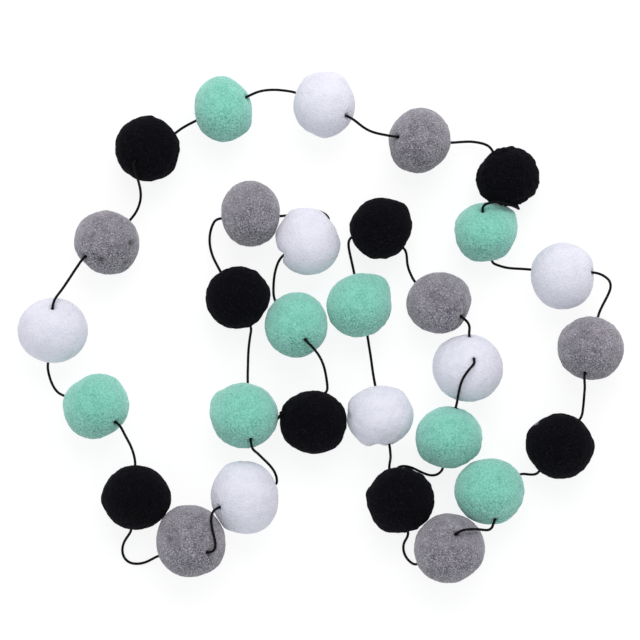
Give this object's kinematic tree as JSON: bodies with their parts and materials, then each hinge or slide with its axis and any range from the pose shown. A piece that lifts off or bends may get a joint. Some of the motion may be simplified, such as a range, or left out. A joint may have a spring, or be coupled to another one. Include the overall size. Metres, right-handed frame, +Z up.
{
  "type": "felt ball garland",
  "caption": "Garland of round felted wool balls in four colours threaded on one thin cord, laid out flat in loops.",
  "frame": {"origin": "middle of the laid-out balls in plan, on the surface that they lie on", "axes": "+X to the right in the picture, across the widest spread of the balls; +Y to the top of the picture; +Z up from the surface that the garland lies on"},
  "size_m": [0.2757, 0.2326, 0.0334],
  "materials": {
    "felt_white": "matt wet-felted wool, soft white with a cool cast",
    "felt_mint": "matt wet-felted wool, mint green, lightly mottled",
    "felt_grey": "matt wet-felted wool, heathered mid grey",
    "felt_black": "matt wet-felted wool, near black",
    "cord_black": "thin round waxed cotton cord, black, slight sheen"
  },
  "bodies": {
    "root": {"ball_01_white": "felt_white", "ball_02_mint": "felt_mint", "ball_03_black": "felt_black", "ball_04_grey": "felt_grey", "ball_05_white": "felt_white", "ball_06_mint": "felt_mint", "ball_07_black": "felt_black", "ball_08_grey": "felt_grey", "ball_09_mint": "felt_mint", "ball_10_black": "felt_black", "ball_11_grey": "felt_grey", "ball_12_white": "felt_white", "ball_13_mint": "felt_mint", "ball_14_black": "felt_black", "ball_15_grey": "felt_grey", "ball_16_white": "felt_white", "ball_17_mint": "felt_mint", "ball_18_black": "felt_black", "ball_19_grey": "felt_grey", "ball_20_white": "felt_white", "ball_21_mint": "felt_mint", "ball_22_black": "felt_black", "ball_23_grey": "felt_grey", "ball_24_white": "felt_white", "ball_25_mint": "felt_mint", "ball_26_black": "felt_black", "ball_27_grey": "felt_grey", "ball_28_white": "felt_white", "ball_29_mint": "felt_mint", "ball_30_black": "felt_black", "cord": "cord_black"}
  },
  "joints": []
}
